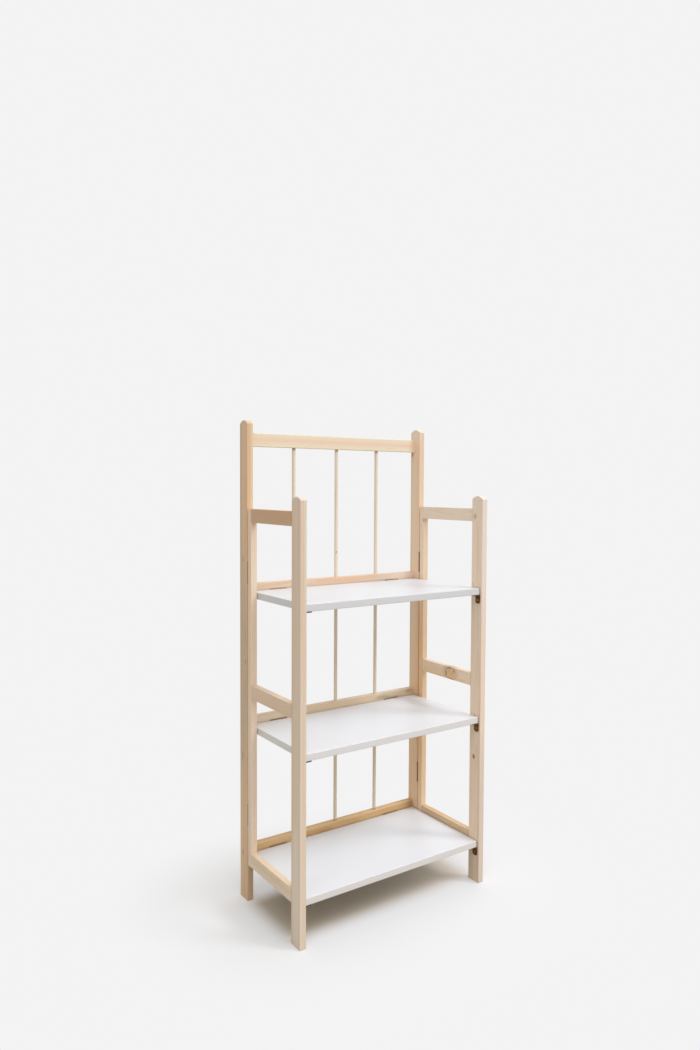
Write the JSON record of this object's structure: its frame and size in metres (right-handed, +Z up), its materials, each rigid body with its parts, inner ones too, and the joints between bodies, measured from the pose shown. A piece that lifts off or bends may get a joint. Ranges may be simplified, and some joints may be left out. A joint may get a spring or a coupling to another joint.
{
  "type": "folding bookcase",
  "caption": "Narrow timber bookcase with a tall dowelled back frame, hinged side frames and hinged white shelves that swing up to fold.",
  "frame": {"origin": "on the floor, under the middle of the open bookcase's outline", "axes": "+X to the right as seen from the front, +Y to the back, +Z up"},
  "size_m": [0.6, 0.318, 1.288],
  "materials": {
    "pine": "planed pine under a thin satin varnish",
    "white_lacquer": "white satin lacquer on board",
    "hinge_steel": "dull bronzed steel",
    "bracket_paint": "dark brown paint"
  },
  "bodies": {
    "back_frame": {"back_post_left": "pine", "back_post_right": "pine", "back_rail_lower": "pine", "back_rail_middle": "pine", "back_rail_upper": "pine", "back_rail_top": "pine", "dowel_1": "pine", "dowel_2": "pine", "dowel_3": "pine", "side_hinge_left_lower_fixed_leaf": "hinge_steel", "side_hinge_left_lower_pin": "hinge_steel", "side_hinge_left_upper_fixed_leaf": "hinge_steel", "side_hinge_left_upper_pin": "hinge_steel", "side_hinge_right_lower_fixed_leaf": "hinge_steel", "side_hinge_right_lower_pin": "hinge_steel", "side_hinge_right_upper_fixed_leaf": "hinge_steel", "side_hinge_right_upper_pin": "hinge_steel", "shelf_hinge_lower_left_fixed_leaf": "hinge_steel", "shelf_hinge_lower_left_pin": "hinge_steel", "shelf_hinge_lower_right_fixed_leaf": "hinge_steel", "shelf_hinge_lower_right_pin": "hinge_steel", "shelf_hinge_middle_left_fixed_leaf": "hinge_steel", "shelf_hinge_middle_left_pin": "hinge_steel", "shelf_hinge_middle_right_fixed_leaf": "hinge_steel", "shelf_hinge_middle_right_pin": "hinge_steel", "shelf_hinge_upper_left_fixed_leaf": "hinge_steel", "shelf_hinge_upper_left_pin": "hinge_steel", "shelf_hinge_upper_right_fixed_leaf": "hinge_steel", "shelf_hinge_upper_right_pin": "hinge_steel"},
    "side_frame_left": {"front_post_left": "pine", "rear_stile_left": "pine", "side_rail_left_low": "pine", "side_rail_left_mid": "pine", "side_rail_left_top": "pine", "shelf_bracket_left_lower": "bracket_paint", "shelf_bracket_left_middle": "bracket_paint", "shelf_bracket_left_upper": "bracket_paint", "side_hinge_left_lower_moving_leaf": "hinge_steel", "side_hinge_left_upper_moving_leaf": "hinge_steel"},
    "side_frame_right": {"front_post_right": "pine", "rear_stile_right": "pine", "side_rail_right_low": "pine", "side_rail_right_mid": "pine", "side_rail_right_top": "pine", "shelf_bracket_right_lower": "bracket_paint", "shelf_bracket_right_middle": "bracket_paint", "shelf_bracket_right_upper": "bracket_paint", "side_hinge_right_lower_moving_leaf": "hinge_steel", "side_hinge_right_upper_moving_leaf": "hinge_steel"},
    "shelf_lower": {"shelf_lower": "white_lacquer", "shelf_hinge_lower_left_moving_leaf": "hinge_steel", "shelf_hinge_lower_right_moving_leaf": "hinge_steel"},
    "shelf_middle": {"shelf_middle": "white_lacquer", "shelf_hinge_middle_left_moving_leaf": "hinge_steel", "shelf_hinge_middle_right_moving_leaf": "hinge_steel"},
    "shelf_upper": {"shelf_upper": "white_lacquer", "shelf_hinge_upper_left_moving_leaf": "hinge_steel", "shelf_hinge_upper_right_moving_leaf": "hinge_steel"}
  },
  "joints": [
    {"name": "shelf_lower_hinge", "type": "hinge", "parent": "back_frame", "child": "shelf_lower", "pos_m": [0, 0.1371, 0.1206], "axis": [-1, 0, 0], "range_deg": [0, 90]},
    {"name": "shelf_middle_hinge", "type": "hinge", "parent": "back_frame", "child": "shelf_middle", "pos_m": [0, 0.1371, 0.4736], "axis": [-1, 0, 0], "range_deg": [0, 90]},
    {"name": "shelf_upper_hinge", "type": "hinge", "parent": "back_frame", "child": "shelf_upper", "pos_m": [0, 0.1371, 0.8346], "axis": [-1, 0, 0], "range_deg": [0, 90]},
    {"name": "side_frame_left_hinge", "type": "hinge", "parent": "back_frame", "child": "side_frame_left", "pos_m": [-0.2814, 0.1151, 0.578], "axis": [0, 0, 1], "range_deg": [0, 0.5]},
    {"name": "side_frame_right_hinge", "type": "hinge", "parent": "back_frame", "child": "side_frame_right", "pos_m": [0.2814, 0.1151, 0.578], "axis": [0, 0, -1], "range_deg": [0, 0.5]}
  ]
}
